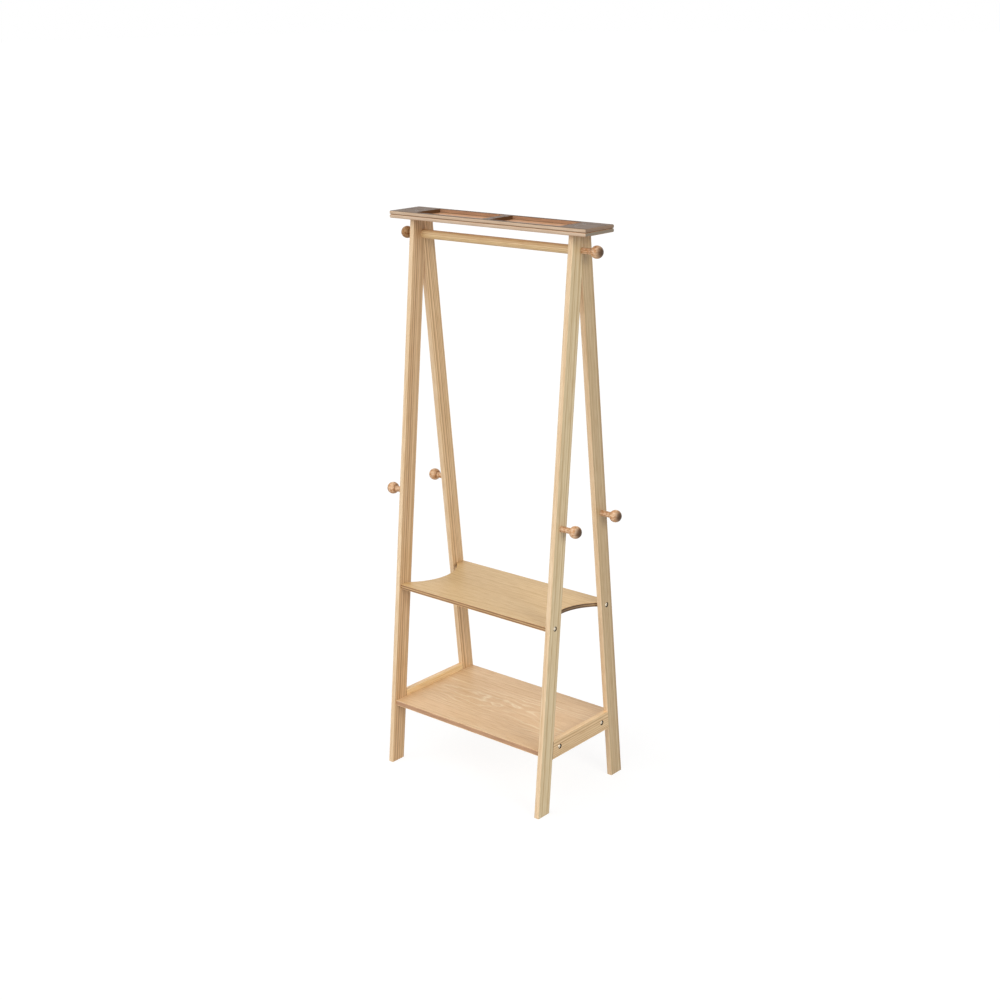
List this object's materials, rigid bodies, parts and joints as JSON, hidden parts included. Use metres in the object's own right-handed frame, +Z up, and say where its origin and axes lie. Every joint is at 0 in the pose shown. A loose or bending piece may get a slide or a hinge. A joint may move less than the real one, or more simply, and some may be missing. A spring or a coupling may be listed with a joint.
{
  "type": "clothes rack",
  "caption": "Free-standing wooden clothes rack: leaning A-frame ends joined by a round hanging rail, two shelves and a shallow top tray, with turned ball pegs on the outside.",
  "frame": {"origin": "on the floor, in the middle between the four feet", "axes": "+X along the hanging rail to the rack's right end, +Y to the back, +Z up"},
  "size_m": [0.652, 0.36, 1.5],
  "materials": {
    "pine": "clear satin lacquer",
    "shelf_wood": "clear satin lacquer",
    "tray_wood": "clear satin lacquer",
    "peg_wood": "clear satin lacquer",
    "dowel_wood": "raw",
    "steel": "bright zinc plate"
  },
  "bodies": {
    "root": {"left_front_leg": "pine", "left_rear_leg": "pine", "right_front_leg": "pine", "right_rear_leg": "pine", "left_side_rail": "pine", "right_side_rail": "pine", "hanging_rail": "pine", "upper_shelf": "shelf_wood", "lower_shelf": "shelf_wood", "tray_base": "tray_wood", "tray_frame": "tray_wood", "left_front_peg": "peg_wood", "left_rear_peg": "peg_wood", "left_top_peg": "peg_wood", "right_front_peg": "peg_wood", "right_rear_peg": "peg_wood", "right_top_peg": "peg_wood", "apex_dowels": "dowel_wood", "side_rail_dowels": "dowel_wood", "upper_shelf_bolts": "steel", "lower_shelf_bolts": "steel", "upper_shelf_nuts": "steel", "lower_shelf_nuts": "steel", "peg_screws": "steel", "hanging_rail_studs": "steel", "tray_screws": "steel"}
  },
  "joints": []
}
